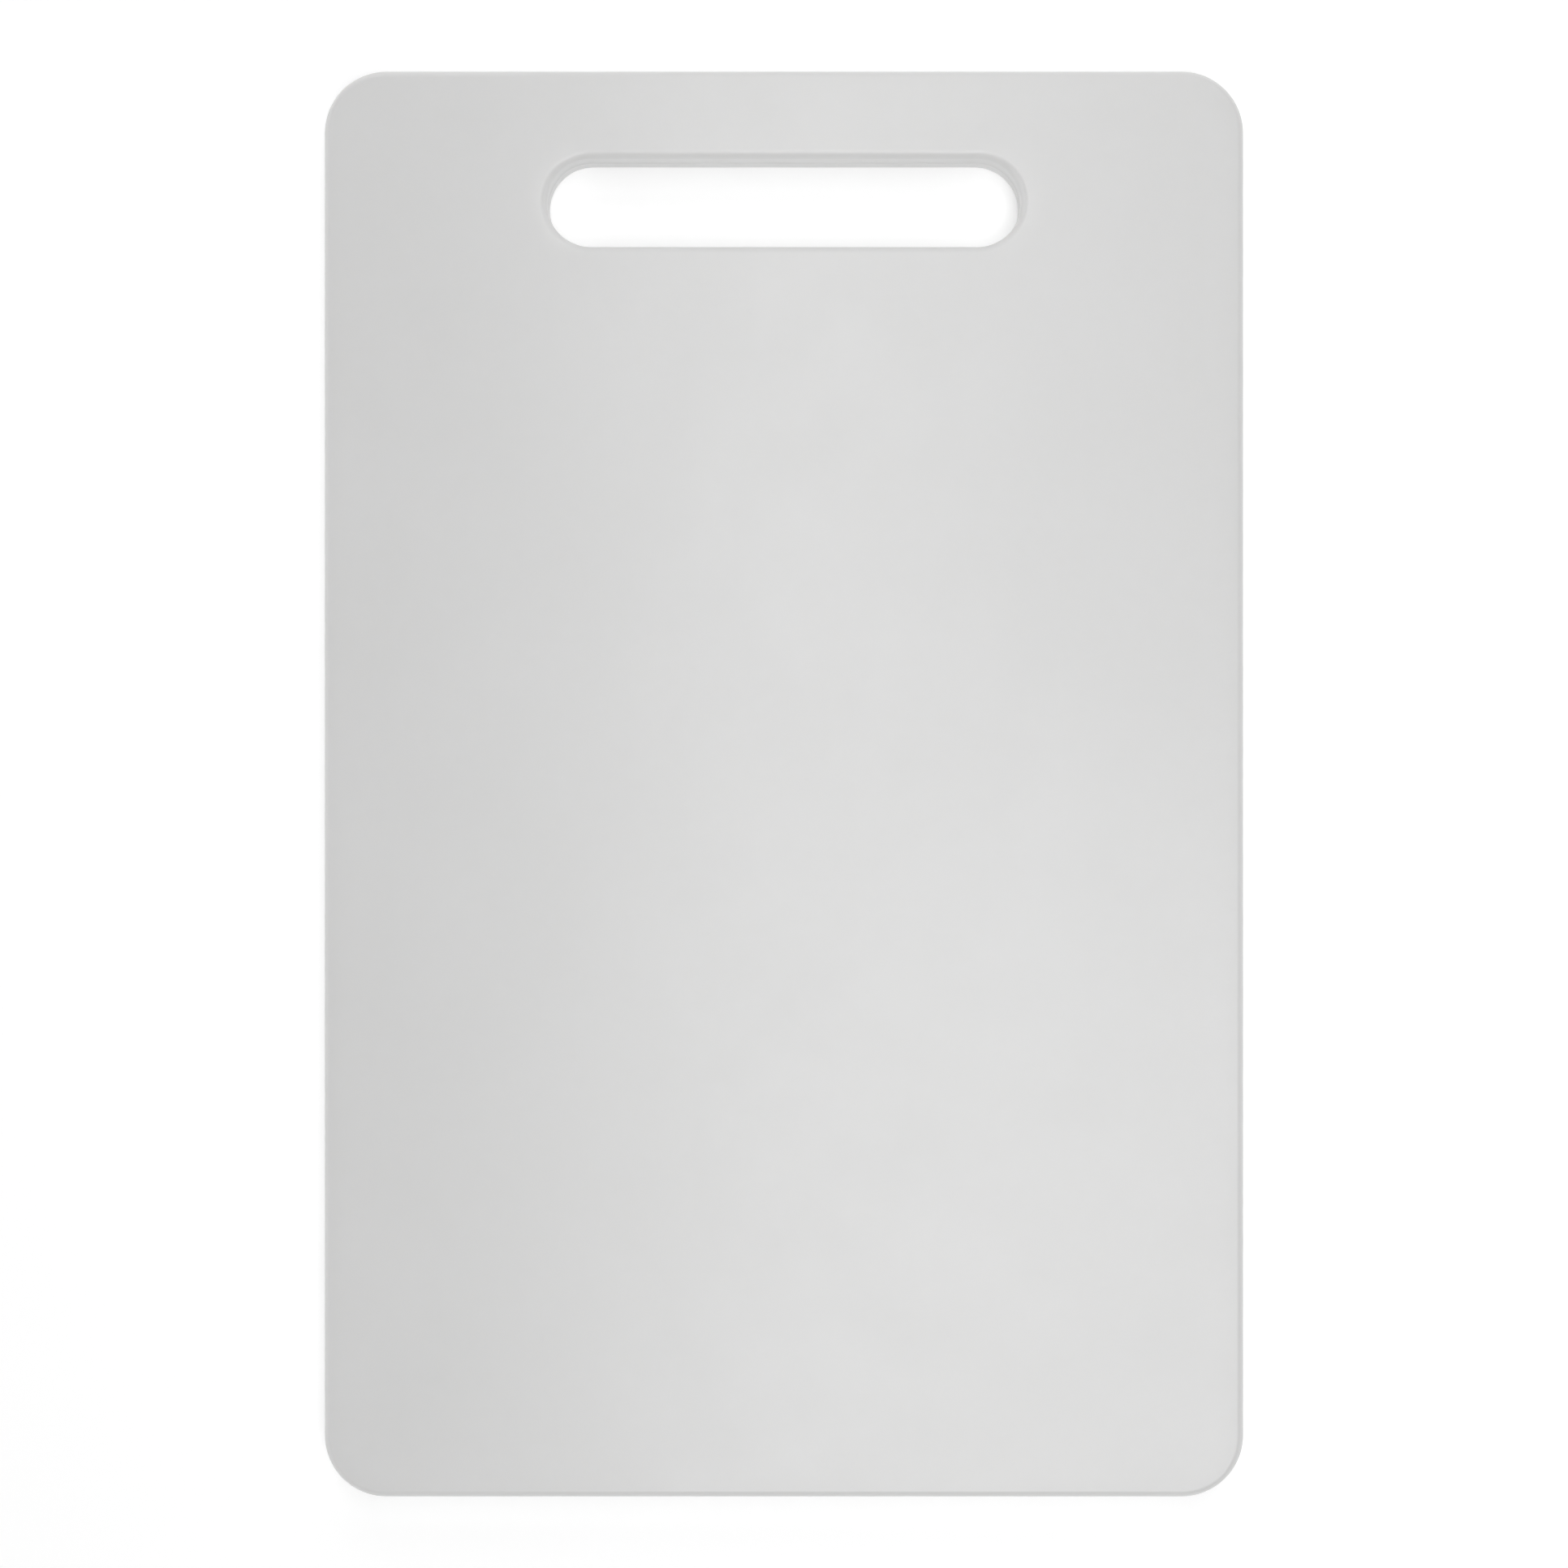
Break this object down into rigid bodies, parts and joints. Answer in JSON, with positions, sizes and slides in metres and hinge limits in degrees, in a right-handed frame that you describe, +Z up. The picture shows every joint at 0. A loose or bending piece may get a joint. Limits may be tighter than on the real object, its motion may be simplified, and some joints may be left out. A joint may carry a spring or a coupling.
{
  "type": "cutting board",
  "caption": "Flat white plastic cutting board with rounded corners and edges, and a finger slot through one end to carry or hang it by.",
  "frame": {"origin": "middle of the underside, on the surface that the board lies on", "axes": "+Z up through the thickness to the cutting face, +Y along the board towards the end with the finger slot, +X across the board"},
  "size_m": [0.245, 0.38, 0.012],
  "materials": {
    "plastic": "satin"
  },
  "bodies": {
    "root": {"board": "plastic"}
  },
  "joints": []
}
